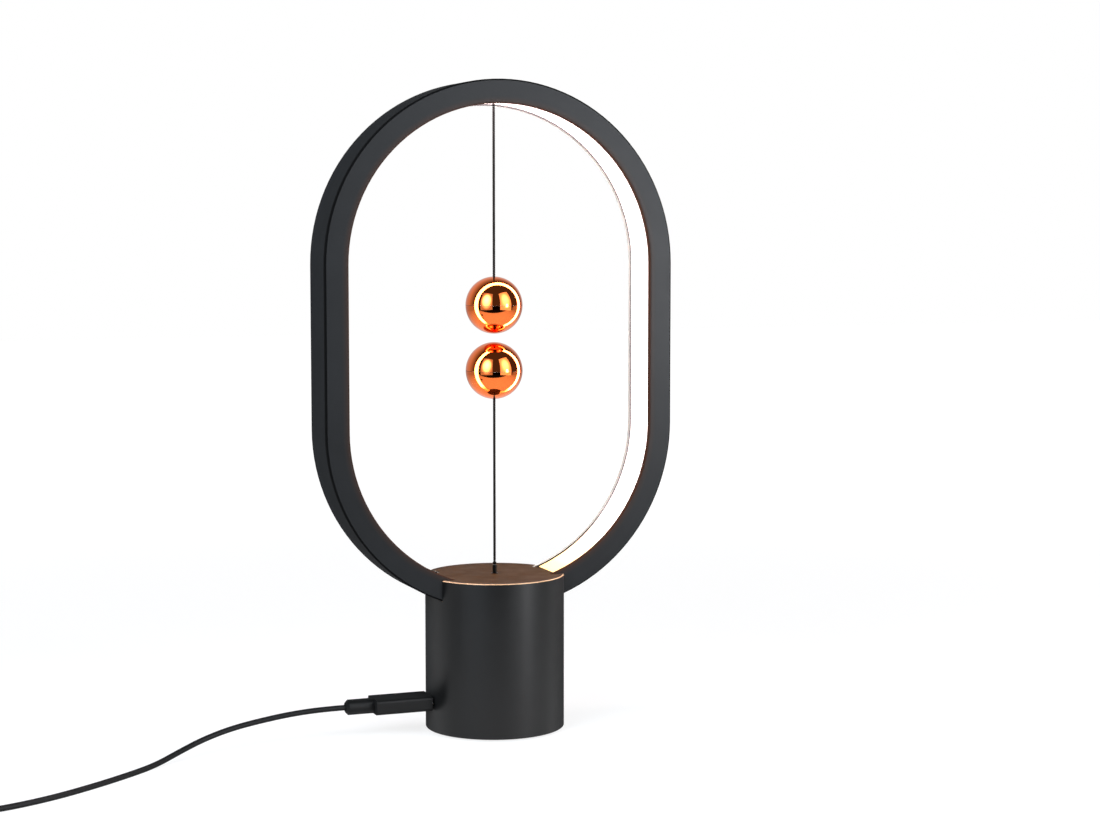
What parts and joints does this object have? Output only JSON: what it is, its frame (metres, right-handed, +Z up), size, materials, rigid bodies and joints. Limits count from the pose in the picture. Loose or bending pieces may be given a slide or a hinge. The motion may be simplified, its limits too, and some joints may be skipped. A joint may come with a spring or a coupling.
{
  "type": "magnetic balance lamp",
  "caption": "Table lamp: a stadium-shaped loop lit on its inside stands in a round base; magnetic balls on strings are its switch. With its cord and plugs.",
  "frame": {"origin": "centre of the base's underside, on the surface that the lamp stands on", "axes": "+Z up, +X along the loop's width away from the power socket, -Y towards the side that the open face of the loop shows"},
  "size_m": [0.3448, 0.108, 0.2505],
  "materials": {
    "dark_body": "matte",
    "underside": "matte",
    "foot_rubber": "matte",
    "diffuser": "satin",
    "strip_board": "satin",
    "light_chip": "satin",
    "steel": "satin",
    "magnet": "polished",
    "copper": "polished",
    "contact_metal": "satin",
    "inner_plastic": "matte",
    "core_plastic": "matte",
    "string": "matte",
    "bead": "satin",
    "rod": "satin",
    "board": "satin",
    "components": "matte",
    "wire": "satin",
    "cord": "matte",
    "plug_moulding": "matte",
    "plug_metal": "satin",
    "tongue": "matte",
    "tie": "matte"
  },
  "bodies": {
    "base_and_ring": {"base_housing": "dark_body", "base_top_cover": "dark_body", "base_bottom_cover": "underside", "foot_pad": "foot_rubber", "bottom_screws": "steel", "ballast_screws": "steel", "ballast_weight": "steel", "ring_cradle": "inner_plastic", "cover_screws": "steel", "control_board": "board", "board_components": "components", "board_screws": "steel", "power_socket_shell": "plug_metal", "power_socket_tongue": "tongue", "ring_rear_shell": "dark_body", "ring_front_cover": "dark_body", "ring_diffuser": "diffuser", "led_strip": "strip_board", "led_chips": "light_chip", "string_anchor": "diffuser", "switch_case": "inner_plastic", "switch_base": "inner_plastic", "switch_screws": "steel", "switch_contacts": "contact_metal", "switch_spring": "steel", "rod_guide_bush": "rod", "led_wires": "wire", "switch_wires": "wire", "usb_cord_lead": "cord", "usb_cord_coil": "cord", "usb_cord_tail": "cord", "cord_tie": "tie", "socket_plug_overmould": "plug_moulding", "socket_plug_shell": "plug_metal", "socket_plug_strain_relief": "plug_moulding", "supply_plug_overmould": "plug_moulding", "supply_plug_shell": "plug_metal", "supply_plug_tongue": "tongue"},
    "pull_switch": {"switch_slider": "core_plastic", "moving_contact": "contact_metal", "pull_rod": "rod"},
    "lower_bead": {"lower_string_bead": "bead"},
    "lower_ball": {"lower_string": "string", "lower_ball_top_shell": "copper", "lower_ball_bottom_shell": "copper", "lower_ball_core": "core_plastic", "lower_ball_magnet": "magnet"},
    "upper_bead": {"upper_string_bead": "bead"},
    "upper_ball": {"upper_string": "string", "upper_ball_top_shell": "copper", "upper_ball_bottom_shell": "copper", "upper_ball_core": "core_plastic", "upper_ball_magnet": "magnet"}
  },
  "joints": [
    {"name": "switch_travel", "type": "slide", "parent": "base_and_ring", "child": "pull_switch", "axis": [0, 0, 1], "range_m": [-0.002, 0], "stiffness_N_per_m": 100, "springref_m": 0.003, "deforming": ["switch_spring"]},
    {"name": "lower_swing_front", "type": "hinge", "parent": "pull_switch", "child": "lower_bead", "pos_m": [0, 0, 0.0646], "axis": [1, 0, 0], "range_deg": [-90, 90], "stiffness_Nm_per_rad": 0.03},
    {"name": "lower_swing_side", "type": "hinge", "parent": "lower_bead", "child": "lower_ball", "pos_m": [0, 0, 0.0646], "axis": [0, 1, 0], "range_deg": [-40, 40], "stiffness_Nm_per_rad": 0.03},
    {"name": "upper_swing_front", "type": "hinge", "parent": "base_and_ring", "child": "upper_bead", "pos_m": [0, 0, 0.2412], "axis": [1, 0, 0], "range_deg": [-80, 80]},
    {"name": "upper_swing_side", "type": "hinge", "parent": "upper_bead", "child": "upper_ball", "pos_m": [0, 0, 0.2412], "axis": [0, 1, 0], "range_deg": [-38, 38]}
  ]
}
